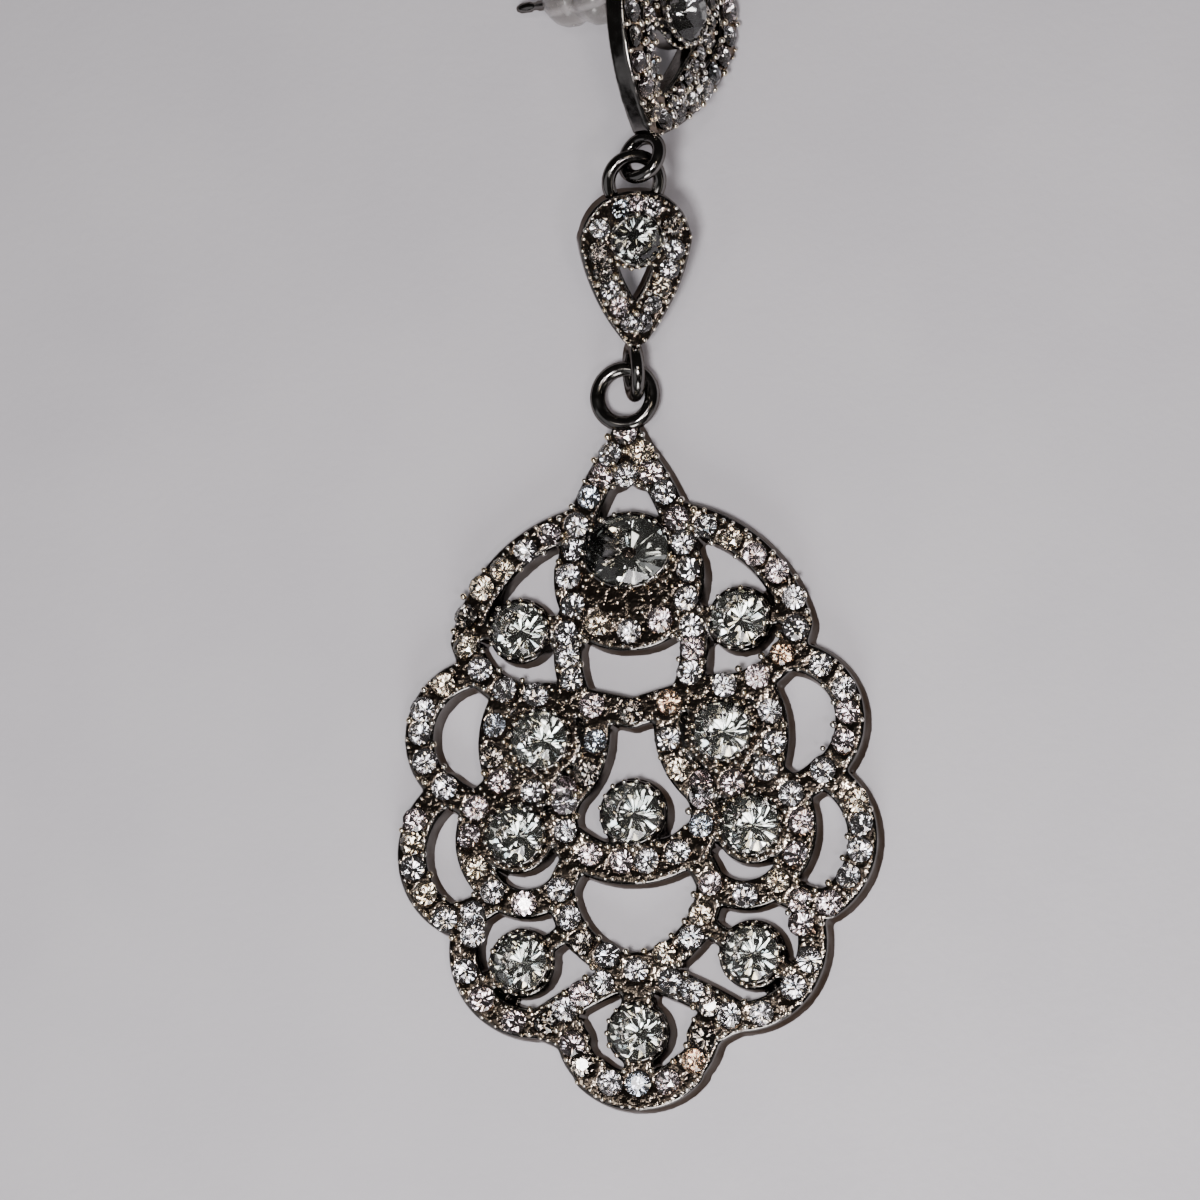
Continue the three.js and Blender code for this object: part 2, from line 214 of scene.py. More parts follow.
def evaluated_bmesh(name, bm, modifiers):
    """Runs modifiers on a bmesh and gives the result back as a new bmesh."""
    mesh = bpy.data.meshes.new(name)
    bm.to_mesh(mesh)
    bm.free()
    holder = bpy.data.objects.new(name, mesh)
    bpy.context.scene.collection.objects.link(holder)
    for kind, settings in modifiers:
        modifier = holder.modifiers.new(kind, kind)
        for setting, value in settings.items():
            setattr(modifier, setting, value)
    finished = holder.evaluated_get(bpy.context.evaluated_depsgraph_get())
    result = bmesh.new()
    result.from_mesh(finished.to_mesh())
    bpy.data.objects.remove(holder)
    bpy.data.meshes.remove(mesh)
    return result


def cast(name, bands, height, pads, draft, voxel):
    bm = bmesh.new()
    for points, width in with_mirror(bands):
        add_band(bm, points, width, height, draft)
    for x, y, across, along in pads:
        add_pad(bm, x, y, across, along, height, draft)
    bmesh.ops.recalc_face_normals(bm, faces=bm.faces)
    skin = evaluated_bmesh(name, bm, [
        ("REMESH", dict(mode="VOXEL", voxel_size=voxel)),
        ("SMOOTH", dict(factor=0.5, iterations=SMOOTHING)),
    ])
    print(name, "casting:", len(skin.faces), "faces")
    return skin


# %% [markdown]
# ## The large stones
# Each large crystal is a round cut: a flat table, a ring of star facets, a crown, a thin girdle and
# a pointed pavilion. Facets are only the flat skin stretched over a few rings of corners, so a
# convex hull finds them all, and each ring is turned by half a step to make the kites.

# %% Cut a crystal
GIRDLE = 2.5
CROWN = 0.75
CROWN_RATIO = 0.36
PAVILION = 0.86
LARGE_CUT = [
    (0.6, CROWN_RATIO, 0), (0.9, 0.13, 0.5), (1.0, 0.0, 0), (1.0, 0.0, 0.5), (1.0, -0.05, 0),
    (1.0, -0.05, 0.5), (0.06, -PAVILION, 0),
]
SMALL_CUT = [
    (0.52, 0.38, 0), (0.84, 0.18, 0.5), (1.0, 0.03, 0), (1.0, 0.03, 0.5), (1.0, -0.03, 0),
    (1.0, -0.03, 0.5), (0.06, -PAVILION, 0),
]
CRYSTAL, FOIL = 0, 1


def cut_stone(rings, sides, girdle):
    """A closed stone of unit radius. Its crown is clear crystal and its pavilion is foiled."""
    bm = bmesh.new()
    for radius, height, turn in rings:
        place = Matrix.Translation((0, 0, height)) @ Matrix.Rotation(turn * math.tau / sides, 4, "Z")
        bmesh.ops.create_circle(bm, segments=sides, radius=radius, matrix=place)
    bmesh.ops.delete(bm, geom=bm.edges[:], context="EDGES_FACES")
    bmesh.ops.convex_hull(bm, input=bm.verts)
    bmesh.ops.dissolve_limit(bm, angle_limit=math.radians(0.5), verts=bm.verts, edges=bm.edges)
    bmesh.ops.recalc_face_normals(bm, faces=bm.faces)
    for face in bm.faces:
        face.material_index = CRYSTAL if face.calc_center_median().z > girdle else FOIL
    mesh = bpy.data.meshes.new("cut stone")
    bm.to_mesh(mesh)
    bm.free()
    return mesh


large_stone = cut_stone(LARGE_CUT, 8, -0.04)
small_stone = cut_stone(SMALL_CUT, 6, -0.02)
print("facets:", len(large_stone.polygons), "and", len(small_stone.polygons))


def add_copy(bm, mesh, matrix):
    """Adds a mesh to a bmesh at a place and gives its vertices."""
    known = len(bm.verts)
    bm.from_mesh(mesh)
    bm.verts.ensure_lookup_table()
    added = bm.verts[known:]
    for vert in added:
        vert.co = matrix @ vert.co
    return added


# %% [markdown]
# ## Finished pieces
# Every finished piece goes through one function. It brings the piece from its casting's own frame
# to its place in metres, gives it its materials, hangs it on the root body and hides the plain
# solids that it stands for.

# %% Finish a piece
def finish_piece(name, bm, place, materials, replaced=(), smooth=None):
    bmesh.ops.transform(bm, matrix=Matrix.Scale(MM, 4) @ place, verts=bm.verts)
    mesh = bpy.data.meshes.new(name)
    for face in bm.faces:
        face.smooth = smooth is not None
    if smooth is not None:
        for edge in bm.edges:
            edge.smooth = edge.is_manifold and edge.calc_face_angle(0) < math.radians(smooth)
    bm.to_mesh(mesh)
    bm.free()
    for material in materials:
        mesh.materials.append(material)
    piece = bpy.data.objects.new(name, mesh)
    bpy.context.scene.collection.objects.link(piece)
    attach(piece, "root")
    if replaced:
        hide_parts(*replaced)
    triangles = sum(len(polygon.vertices) - 2 for polygon in mesh.polygons)
    print(f"{name}: {triangles} triangles")
    return piece


# %% [markdown]
# ## Finishes
# The metal is dark plated silver. It has a faint cast skin and dull patches of tarnish. The patches
# are wanted on more than one material, so they are a node group with its own inputs and outputs.

# %% A group for worn skin
def skin_group():
    """Patches and fine pits in object space: a mask for tarnish, a fine mask and a height."""
    group = bpy.data.node_groups.new("worn skin", "ShaderNodeTree")
    for label, value in (("Patch Scale", 300.0), ("Fine Scale", 4000.0)):
        socket = group.interface.new_socket(label, in_out="INPUT", socket_type="NodeSocketFloat")
        socket.default_value = value
    for label in ("Patches", "Fine"):
        group.interface.new_socket(label, in_out="OUTPUT", socket_type="NodeSocketFloat")
    nodes, links = group.nodes, group.links
    inputs = nodes.new("NodeGroupInput")
    outputs = nodes.new("NodeGroupOutput")
    place = nodes.new("ShaderNodeTexCoord")
    for scale, mask, detail in (("Patch Scale", "Patches", 4.0), ("Fine Scale", "Fine", 2.0)):
        noise = nodes.new("ShaderNodeTexNoise")
        noise.inputs["Detail"].default_value = detail
        links.new(place.outputs["Object"], noise.inputs["Vector"])
        links.new(inputs.outputs[scale], noise.inputs["Scale"])
        spread = nodes.new("ShaderNodeMapRange")
        spread.inputs["From Min"].default_value = 0.35
        spread.inputs["From Max"].default_value = 0.65
        links.new(noise.outputs["Fac"], spread.inputs["Value"])
        links.new(spread.outputs["Result"], outputs.inputs[mask])
    return group


WORN_SKIN = skin_group()


class Finish:
    """A material with its shader at hand and short calls to lay nodes behind it."""

    def __init__(self, name, **settings):
        self.material = bpy.data.materials.new(name)
        self.material.use_nodes = True
        self.tree = self.material.node_tree
        self.shader = self.tree.nodes["Principled BSDF"]
        for socket, value in settings.items():
            self.shader.inputs[socket.replace("_", " ")].default_value = value

    def node(self, kind, **settings):
        node = self.tree.nodes.new(kind)
        for socket, value in settings.items():
            node.inputs[socket.replace("_", " ")].default_value = value
        return node

    def skin(self, patch_scale, fine_scale):
        node = self.tree.nodes.new("ShaderNodeGroup")
        node.node_tree = WORN_SKIN
        node.inputs["Patch Scale"].default_value = patch_scale
        node.inputs["Fine Scale"].default_value = fine_scale
        return node

    def mix(self, mask, low, high):
        """A colour or a value between two, by a mask."""
        node = self.tree.nodes.new("ShaderNodeMix")
        node.data_type = "RGBA" if isinstance(low, tuple) else "FLOAT"
        ends = [socket for socket in node.inputs if socket.enabled and socket.name in "AB"]
        for socket, value in zip(ends, (low, high)):
            socket.default_value = (*value, 1) if isinstance(value, tuple) else value
        self.tree.links.new(mask, node.inputs[0])
        return next(socket for socket in node.outputs if socket.enabled)

    def blend(self, mask, low, high, kind):
        """Two linked colours or values, mixed by a mask."""
        node = self.tree.nodes.new("ShaderNodeMix")
        node.data_type = kind
        ends = [socket for socket in node.inputs if socket.enabled and socket.name in "AB"]
        for socket, output in zip([node.inputs[0], *ends], (mask, low, high)):
            self.tree.links.new(output, socket)
        return next(socket for socket in node.outputs if socket.enabled)

    def join(self, output, socket):
        self.tree.links.new(output, self.shader.inputs[socket])

    def bump(self, height, strength, distance):
        node = self.node("ShaderNodeBump", Strength=strength, Distance=distance)
        self.tree.links.new(height, node.inputs["Height"])
        self.join(node.outputs["Normal"], "Normal")


# %% [markdown]
# Plated metal is a mirror first, so its colour says how dark the plating is and its roughness how
# worn. The walls are smooth and dark. The faces were cut up by the setter's graver, so a mask on
# the mesh gives them a strong fine bump that breaks every reflection into glints.

# %% Plated metal
SETTING = "setting"


def plated_metal():
    finish = Finish("dark plated silver", Metallic=1.0, Specular_Tint=(0.3, 0.27, 0.25, 1))
    skin = finish.skin(500.0, 1500.0)
    worked = finish.tree.nodes.new("ShaderNodeAttribute")
    worked.attribute_name = SETTING
    walls = finish.mix(skin.outputs["Patches"], (0.215, 0.208, 0.2), (0.14, 0.134, 0.128))
    faces = finish.mix(skin.outputs["Fine"], (0.26, 0.215, 0.175), (0.09, 0.072, 0.058))
    finish.join(finish.blend(worked.outputs["Fac"], walls, faces, "RGBA"), "Base Color")
    finish.join(finish.mix(skin.outputs["Fine"], 0.08, 0.2), "Roughness")
    height = finish.tree.nodes.new("ShaderNodeMath")
    height.operation = "MULTIPLY"
    finish.tree.links.new(skin.outputs["Fine"], height.inputs[0])
    finish.tree.links.new(worked.outputs["Fac"], height.inputs[1])
    finish.bump(height.outputs["Value"], 0.5, 0.08 * MM)
    return finish.material


# %% [markdown]
# The tips of beads and prongs are rubbed most, so their plating is bright, and warm where the brass
# below begins to show.

# %% Rubbed metal
def rubbed_metal():
    finish = Finish("rubbed bead metal", Metallic=1.0)
    skin = finish.skin(900.0, 3500.0)
    finish.join(finish.mix(skin.outputs["Patches"], (0.85, 0.82, 0.79), (0.8, 0.68, 0.48)), "Base Color")
    finish.join(finish.mix(skin.outputs["Fine"], 0.12, 0.22), "Roughness")
    return finish.material


# %% [markdown]
# A crystal of this kind is glass with a silver foil behind it. The crown lets light in and the
# foiled facets throw it back, which is why such stones flash white and go black side by side.
# Each small stone also has its own tint, kept as an attribute on its corners.

# %% Crystal and foil
TINT = "tint"


def crystal(name):
    finish = Finish(name, Base_Color=(0.98, 0.975, 0.985, 1), Metallic=0.0, Transmission_Weight=1.0,
                    IOR=1.56)
    skin = finish.skin(500.0, 6000.0)
    finish.join(finish.mix(skin.outputs["Patches"], 0.0, 0.03), "Roughness")
    return finish.material


def foil(name):
    finish = Finish(name, Metallic=1.0)
    tint = finish.tree.nodes.new("ShaderNodeAttribute")
    tint.attribute_name = TINT
    skin = finish.skin(700.0, 6000.0)
    finish.join(tint.outputs["Color"], "Base Color")
    finish.join(finish.mix(skin.outputs["Patches"], 0.02, 0.1), "Roughness")
    return finish.material


PLATED = plated_metal()
RUBBED = rubbed_metal()
CLEAR = crystal("clear crystal")
SILVER_FOIL = foil("silver foil")

# %% [markdown]
# ## Stones in their cups
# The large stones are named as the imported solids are. A stone off the middle line has a twin.

# %% The large stones' table
DROP_STONES = [
    ("oval", 0, 40.6, 2.6, 1.2, 0.4), ("upper", 8.25, 35.2, 2.0, 1, 0.4),
    ("shoulder", 6.8, 27.05, 2.05, 1, 0.85), ("center", 0, 21.4, 2.15, 1, 0.4),
    ("middle", 8.75, 20.15, 2.05, 1, 0.7), ("lower", 8.55, 10.9, 1.98, 1, 0.5),
    ("bottom", 0, 5.6, 1.95, 1, 0.4),
]
LINK_STONE = ("link_stone", 0, 8.3, 1.75, 1, 0.6)
STUD_STONE = ("stud_stone", 0, 10.0, 2.2, 1, 0.5)


def twins(rows):
    for name, x, *rest in rows:
        if x:
            yield (f"drop_stone_{name}_left", -x, *rest)
            yield (f"drop_stone_{name}_right", x, *rest)
        else:
            yield (f"drop_stone_{name}", x, *rest)


LARGE_STONES = list(twins(DROP_STONES))


def set_tint(bm, verts, color):
    layer = bm.verts.layers.float_color.get(TINT) or bm.verts.layers.float_color.new(TINT)
    for vert in verts:
        vert[layer] = (*color, 1)


def make_large_stone(name, x, y, radius, stretch, place, turn, painted_shade=1.0):
    bm = bmesh.new()
    bm.verts.layers.float_color.new(TINT)
    matrix = (Matrix.Translation((x, y, GIRDLE))
              @ Matrix.Diagonal((radius * stretch, radius, min(radius, CROWN / CROWN_RATIO), 1))
              @ Matrix.Rotation(math.radians(turn), 4, "Z"))
    verts = add_copy(bm, large_stone, matrix)
    for vert in verts:
        if vert.co.z < GIRDLE:
            vert.co.z = GIRDLE + (vert.co.z - GIRDLE) * max(1, radius * CROWN_RATIO / CROWN)
    # A factor below one darkens the foil's tint: painted shade for a stone on a tilted casting, not a
    # darker stone.
    set_tint(bm, verts, [painted_shade * value for value in (0.84, 0.86, 0.83)])
    finish_piece(name, bm, place, [CLEAR, SILVER_FOIL], [name])


random.seed(7)
for name, x, y, radius, stretch, pad in LARGE_STONES:
    make_large_stone(name, x, y, radius, stretch, DROP_PLACE, random.uniform(0, 36))
# The large stones of the tilted link and stud are darkened as painted shade.
make_large_stone(*LINK_STONE[:5], LINK_PLACE, 11, painted_shade=0.6)
make_large_stone(*STUD_STONE[:5], STUD_PLACE, 5, painted_shade=0.7)

# %% [markdown]
# A cup is turned from one profile: a collar that stands on the casting, a rounded lip that closes
# over the stone's girdle, and a wall inside. Ball prongs stand round it. A full spin closes the ring.

# %% Cups and ball prongs
CUP_PROFILE = [(0.02, 0.5), (0.02, 2.4), (0.0, 2.5), (0.06, 2.56), (0.14, 2.54), (0.22, 2.42),
               (0.26, 2.2), (0.36, 1.6), (0.42, 0.5)]
CUP_STEPS = 48
PRONG = 0.21
BRIGHT = 1


def add_cup(bm, x, y, radius, stretch):
    """The profile's first number is how far a corner stands outside the stone's girdle."""
    corners = [bm.verts.new((radius + out, 0, up)) for out, up in CUP_PROFILE]
    edges = [bm.edges.new(pair) for pair in zip(corners, corners[1:] + corners[:1])]
    spun = bmesh.ops.spin(bm, geom=[*corners, *edges], cent=(0, 0, 0), axis=(0, 0, 1),
                          angle=math.tau, steps=CUP_STEPS, use_merge=True)
    verts = {vert for vert in corners if vert.is_valid}
    verts.update(item for item in spun["geom_last"] if isinstance(item, bmesh.types.BMVert))
    linked = connected(verts)
    move = Matrix.Translation((x, y, 0))
    if stretch != 1:
        move = move @ Matrix.Diagonal((stretch, 1, 1, 1))
    bmesh.ops.transform(bm, matrix=move, verts=linked)


def connected(verts):
    """All vertices that hang together with these."""
    found, edge_of_search = set(verts), list(verts)
    while edge_of_search:
        vert = edge_of_search.pop()
        for edge in vert.link_edges:
            other = edge.other_vert(vert)
            if other not in found:
                found.add(other)
                edge_of_search.append(other)
    return list(found)


def ball_mesh():
    bm = bmesh.new()
    bmesh.ops.create_uvsphere(bm, u_segments=8, v_segments=6, radius=1)
    for face in bm.faces:
        face.material_index = BRIGHT
    mesh = bpy.data.meshes.new("ball")
    bm.to_mesh(mesh)
    bm.free()
    return mesh


BALL = ball_mesh()


def add_ball(bm, x, y, z, radius):
    add_copy(bm, BALL, Matrix.Translation((x, y, z)) @ Matrix.Scale(radius, 4))


def add_prongs(bm, x, y, radius, stretch):
    count = round(math.tau * (radius + 0.3) / 0.95)
    for step in range(count):
        angle = math.tau * (step + 0.5) / count
        reach = radius + random.uniform(0.12, 0.22)
        add_ball(bm, x + stretch * reach * math.cos(angle), y + reach * math.sin(angle),
                 random.uniform(2.42, 2.56), PRONG * random.uniform(0.85, 1.15))


# %% [markdown]
# ## Pavé
# The small stones follow the bands. They were set by eye on the real piece, so their places are a
# chart, one row for each band, rather than an even division.

# %% The chart of the drop's small stones
DROP_PAVE = {
    "pear": [(0, 49.4), (1.2, 47.9), (0, 46.3), (1.9, 46.4), (2.85, 44.8), (3.8, 42.8), (4.15, 41.0),
             (4.5, 39.0), (4.25, 36.9), (2.3, 35.4), (0, 34.7)],
    "shoulder": [(5.85, 42.2), (7.7, 41.1), (9.5, 39.8), (11.1, 38.5), (12.35, 36.5), (12.4, 34.3)],
    "armpit": [(11.3, 32.5), (9.5, 30.9), (7.05, 30.4)],
    "neck": [(4.7, 34.8), (4.7, 33.2), (4.4, 31.4)],
    "bell": [(2.9, 29.4), (0, 28.8), (2.7, 26.75), (3.4, 24.4), (5.05, 22.4), (5.05, 20.3),
             (3.25, 18.5), (0.95, 17.9)],
    "lobe 1": [(10.3, 28.3), (10.55, 26.05), (9.9, 24.2), (14.1, 31.5), (15.75, 29.7), (16.0, 28.0),
               (15.6, 25.9), (14.1, 23.9)],
    "middle row": [(7.45, 23.3), (5.1, 23.4)],
    "lobe 2": [(11.75, 22.3), (12.4, 20.3), (11.9, 18.0), (10.6, 16.1), (16.4, 21.6), (16.7, 19.9),
               (16.6, 18.1), (15.7, 16.2), (14.25, 14.3)],
    "belt": [(8.2, 15.15), (5.6, 16.1), (12.1, 14.6)],
    "lobe 3": [(12.15, 13.0), (12.75, 10.4), (11.55, 8.4), (9.15, 6.65), (6.75, 6.6), (5.4, 7.4),
               (4.1, 8.5), (2.6, 9.2)],
    "vee": [(0, 10.1), (2.1, 11.15), (4.1, 12.2), (4.9, 14.0)],
    "tail": [(0, 1.95), (2.1, 2.05), (4.1, 3.45), (4.8, 4.95)],
}


def spots_of(chart):
    """Every charted spot and its mirror twin, without doubles."""
    spots = []
    for row in chart.values():
        for x, y in row:
            spots += [(x, y)] if x == 0 else [(x, y), (-x, y)]
    return spots


drop_spots = [(x, y, 0.96) for x, y in spots_of(DROP_PAVE)]
print(len(drop_spots), "small stones on the drop")


def along(bands, index, count):
    """Evenly spaced spots along a band and its twin."""
    name, *points, width = bands[index]
    center, radius, first, sweep = circle_through(*points)
    for step in range(count):
        angle = first + sweep * (step + 0.5) / count
        x, y = center.x + radius * math.cos(angle), center.y + radius * math.sin(angle)
        yield x, y
        yield -x, y


link_spots = [(x, y, 0.78) for x, y in [*along(LINK_BANDS, 0, 5), *along(LINK_BANDS, 1, 2)]]
link_spots.append((0, 10.75, 0.78))
stud_spots = [(x, y, 0.86) for x, y in [*along(STUD_BANDS, 0, 6), *along(STUD_BANDS, 1, 5)]]
stud_spots += [(x, y, 0.62) for x, y in [*along(STUD_BANDS, 2, 6), *along(STUD_BANDS, 3, 4)]]
print(len(link_spots), "on the link and", len(stud_spots), "on the stud")

# %% [markdown]
# Each small stone sits in a pit with its girdle just above the metal, tipped a little one way or
# another. Most are clear, a few are warm and a few have lost their foil and look dark.

# %% Lay the small stones
TINTS = [((0.95, 0.94, 0.95), 0.45), ((0.96, 0.89, 0.9), 0.3), ((0.88, 0.92, 0.97), 0.06),
         ((0.96, 0.89, 0.78), 0.09), ((0.95, 0.8, 0.66), 0.02), ((0.5, 0.47, 0.44), 0.08)]
TIP = 12


def pave(name, spots, floor, place, painted_shade=1.0):
    bm = bmesh.new()
    bm.verts.layers.float_color.new(TINT)
    colors, shares = zip(*TINTS)
    for x, y, radius in spots:
        tip = Matrix.Rotation(math.radians(random.uniform(-TIP, TIP)), 4, "X")
        tip = tip @ Matrix.Rotation(math.radians(random.uniform(-TIP, TIP)), 4, "Y")
        turn = Matrix.Rotation(random.uniform(0, math.tau), 4, "Z")
        size = radius * random.uniform(0.94, 1.04)
        matrix = (Matrix.Translation((x, y, floor + 0.12 + random.uniform(-0.05, 0.07)))
                  @ tip @ turn @ Matrix.Scale(size, 4))
        tint = random.choices(colors, shares)[0]
        # A factor below one darkens every tint: painted shade for stones on a tilted casting, not darker
        # stones.
        set_tint(bm, add_copy(bm, small_stone, matrix), [painted_shade * value for value in tint])
    return finish_piece(name, bm, place, [CLEAR, SILVER_FOIL])


pave("drop_pave", drop_spots, 2.0, DROP_PLACE)
# The small stones of the tilted link and stud are darkened as painted shade.
pave("link_pave", link_spots, 1.9, LINK_PLACE, painted_shade=0.85)
pave("stud_pave", stud_spots, 1.7, STUD_PLACE, painted_shade=0.8)

# %% [markdown]
# ## Pits and beads
# A setter drills a pit for each stone and raises beads of metal between neighbours. The pits are
# pressed into the remeshed skin by lowering its vertices under each stone, and the beads are small
# balls on both sides of every gap.

# %% Press pits and raise beads
PIT_DEPTH = 0.85
PIT_SHARE = 0.88
NEIGHBOUR = 1.32
BEAD_SPREAD = 0.92
BEAD_HOLD = 0.16
GRAIN_GAP = 0.52
CELL = 0.5


def press_pits(bm, spots, floor):
    """Lowers the skin in a cone under every (x, y, radius, bottom)."""
    tree = KDTree(len(spots))
    for index, (x, y, radius, bottom) in enumerate(spots):
        tree.insert((x, y, 0), index)
    tree.balance()
    reach = max(radius for x, y, radius, bottom in spots)
    for vert in bm.verts:
        if vert.co.z < floor * 0.6:
            continue
        for co, index, distance in tree.find_range((vert.co.x, vert.co.y, 0), reach):
            x, y, radius, bottom = spots[index]
            if distance < radius:
                wall = bottom + (floor - bottom) * max(0.0, distance / radius - 0.5) * 2
                vert.co.z = min(vert.co.z, wall)


def add_beads(bm, skin, spots, floor):
    """Two beads across each gap between neighbours, where there is metal. Gives their places."""
    metal = [vert.co for vert in skin.verts if vert.co.z > floor / 2]
    tree = KDTree(len(metal))
    for index, co in enumerate(metal):
        tree.insert((co.x, co.y, 0), index)
    tree.balance()
    done = []
    for index, (ax, ay, a) in enumerate(spots):
        for bx, by, b in spots[index + 1:]:
            between = Vector((bx - ax, by - ay))
            if between.length > (a + b) * NEIGHBOUR:
                continue
            side = Vector((-between.y, between.x)).normalized() * BEAD_SPREAD * (a + b) / 2
            for sign in (-1, 1):
                x, y = Vector((ax + bx, ay + by)) / 2 + side * sign
                if tree.find((x, y, 0))[2] > BEAD_HOLD:
                    continue
                add_ball(bm, x, y, floor + random.uniform(0.06, 0.24), random.uniform(0.22, 0.3))
                done.append((x, y))
    return done


def add_grains(bm, skin, floor, spots, stones, beads):
    """Small beads on whatever face the stones and the large beads leave bare."""
    layer = skin.verts.layers.float[SETTING]
    bare = [vert.co.copy() for vert in skin.verts if vert[layer] and vert.co.z > floor - 0.12]
    random.shuffle(bare)
    taken = [(x, y, radius + 0.1) for x, y, radius in spots]
    taken += [(x, y, radius * stretch + 0.32) for _, x, y, radius, stretch, pad in stones]
    taken += [(x, y, GRAIN_GAP) for x, y in beads]
    cells = {}
    for x, y, reach in taken:
        add_to_cells(cells, x, y, reach)
    count = 0
    for co in bare:
        near = cells.get((math.floor(co.x / CELL), math.floor(co.y / CELL)), ())
        if any(math.hypot(co.x - x, co.y - y) < reach for x, y, reach in near):
            continue
        add_ball(bm, co.x, co.y, co.z + 0.03, random.uniform(0.12, 0.2))
        add_to_cells(cells, co.x, co.y, GRAIN_GAP)
        count += 1
    return count


def add_to_cells(cells, x, y, reach):
    """Notes a taken disc in every cell of a square grid that it may touch."""
    for column in range(math.floor((x - reach) / CELL), math.floor((x + reach) / CELL) + 1):
        for row in range(math.floor((y - reach) / CELL), math.floor((y + reach) / CELL) + 1):
            cells.setdefault((column, row), []).append((x, y, reach))


# %% [markdown]
# ## Rings and loops
# The rings are round wire, soldered on. A circle spun once round the ring's middle makes one.

# %% Turn a wire ring
def add_ring(bm, ring):
    wire = bmesh.ops.create_circle(
        bm, segments=16, radius=ring["wire"],
        matrix=Matrix.Translation((ring["radius"], 0, 0)) @ Matrix.Rotation(math.pi / 2, 4, "X"))
    edges = {edge for vert in wire["verts"] for edge in vert.link_edges}
    bmesh.ops.spin(bm, geom=[*wire["verts"], *edges], cent=(0, 0, 0), axis=(0, 0, 1),
                   angle=math.tau, steps=48, use_merge=True)
    verts = connected([vert for vert in wire["verts"] if vert.is_valid])
    across = Matrix.Rotation(math.pi / 2, 4, "Y") if ring["across"] else Matrix.Identity(4)
    bmesh.ops.transform(bm, matrix=Matrix.Translation(middle_of(ring)) @ across, verts=verts)


# %% [markdown]
# ## The three castings
# Now each casting is put together: the remeshed net with its pads, the pits, then the crisp parts
# that a remesh would blunt, which are the cups, prongs, beads and rings.

# %% Make the castings
LARGE_SEAT = 0.5
SEAT_MARGIN = 0.2
RIM_DROP = 0.03


def mark_setting(bm, height):
    """Marks the upper face, which the setter works, apart from the walls."""
    layer = bm.verts.layers.float.new(SETTING)
    bm.normal_update()
    for vert in bm.verts:
        vert[layer] = float(vert.co.z > height - RIM_DROP and vert.normal.z > 0.97)


def make_casting(name, bands, height, stones, spots, rings, place, draft, voxel, kept, extra=None):
    pads = [(x, y, radius * stretch + pad, radius + pad)
            for _, x, y, radius, stretch, pad in stones]
    bm = cast(name, bands, height, pads, draft, voxel)
    mark_setting(bm, height)
    pits = [(x, y, radius * PIT_SHARE, height - PIT_DEPTH) for x, y, radius in spots]
    press_pits(bm, pits, height)
    for _, x, y, radius, stretch, pad in stones:
        for vert in bm.verts:
            reach = math.hypot((vert.co.x - x) / stretch, vert.co.y - y)
            if vert.co.z > LARGE_SEAT and reach < radius + SEAT_MARGIN:
                vert.co.z = LARGE_SEAT
    bm = evaluated_bmesh(name, bm, [("DECIMATE", dict(ratio=kept))])
    grains = bmesh.new()
    beads = add_beads(grains, bm, spots, height)
    count = add_grains(grains, bm, height, spots, stones, beads)
    print(name, "has", len(beads), "beads and", count, "grains")
    finish_piece(name.replace("casting", "beads"), grains, place, [PLATED, RUBBED],
                 smooth=80)
    crisp = bmesh.new()
    for _, x, y, radius, stretch, pad in stones:
        add_cup(crisp, x, y, radius, stretch)
        add_prongs(crisp, x, y, radius, stretch)
    for ring in rings:
        add_ring(crisp, ring)
    if extra:
        extra(crisp)
    bmesh.ops.recalc_face_normals(crisp, faces=crisp.faces)
    added = bpy.data.meshes.new("crisp parts")
    crisp.to_mesh(added)
    crisp.free()
    bm.from_mesh(added)
    return finish_piece(name, bm, place, [PLATED, RUBBED],
                        [name.replace("_casting", "_frame")], smooth=50)


make_casting("drop_casting", DROP_BANDS, 2.0, LARGE_STONES, drop_spots, [DROP_RING], DROP_PLACE,
             draft=0.2, voxel=0.14, kept=0.33)
make_casting("link_casting", LINK_BANDS, 1.9, [LINK_STONE], link_spots, [LINK_LOOP, LINK_RING],
             LINK_PLACE, draft=-0.1, voxel=0.1, kept=0.5)

# %% [markdown]
# ## Ear post and clutch
# The post is plain round wire with a rounded tip and a groove that stops the clutch. It stands on
# a small plate on the stud's back. Both are turned shapes, so a spun profile makes each.

# %% Turn the post, its plate and the clutch
POST_X, POST_Y = -1, 11.8
POST_END = -13.3
CLUTCH_START = -4.2
CLUTCH_PROFILE = [(0.55, 0), (1.25, 0), (1.5, 0.12), (1.95, 0.6), (2.1, 1.1), (2.1, 1.6), (1.85, 2.2),
                  (1.55, 2.6), (1.52, 2.9), (1.75, 3.2), (1.95, 3.6), (1.95, 4.3), (1.75, 4.9),
                  (1.3, 5.5), (0.85, 6.0), (0.7, 6.1), (0.55, 6.1)]


def turn_profile(bm, profile, x, y, z, steps, closed):
    """Spins a profile of (radius, along) once round a line that runs down from a place."""
    corners = [bm.verts.new((radius, 0, up)) for radius, up in profile]
    pairs = zip(corners, corners[1:] + corners[:1]) if closed else zip(corners, corners[1:])
    edges = [bm.edges.new(pair) for pair in pairs]
    bmesh.ops.spin(bm, geom=[*corners, *edges], cent=(0, 0, 0), axis=(0, 0, 1), angle=math.tau,
                   steps=steps, use_merge=True)
    verts = connected([vert for vert in corners if vert.is_valid])
    bmesh.ops.remove_doubles(bm, verts=verts, dist=HAIR)
    verts = [vert for vert in verts if vert.is_valid]
    down = Matrix.Diagonal((1, 1, -1, 1))
    bmesh.ops.transform(bm, matrix=Matrix.Translation((x, y, z)) @ down, verts=verts)


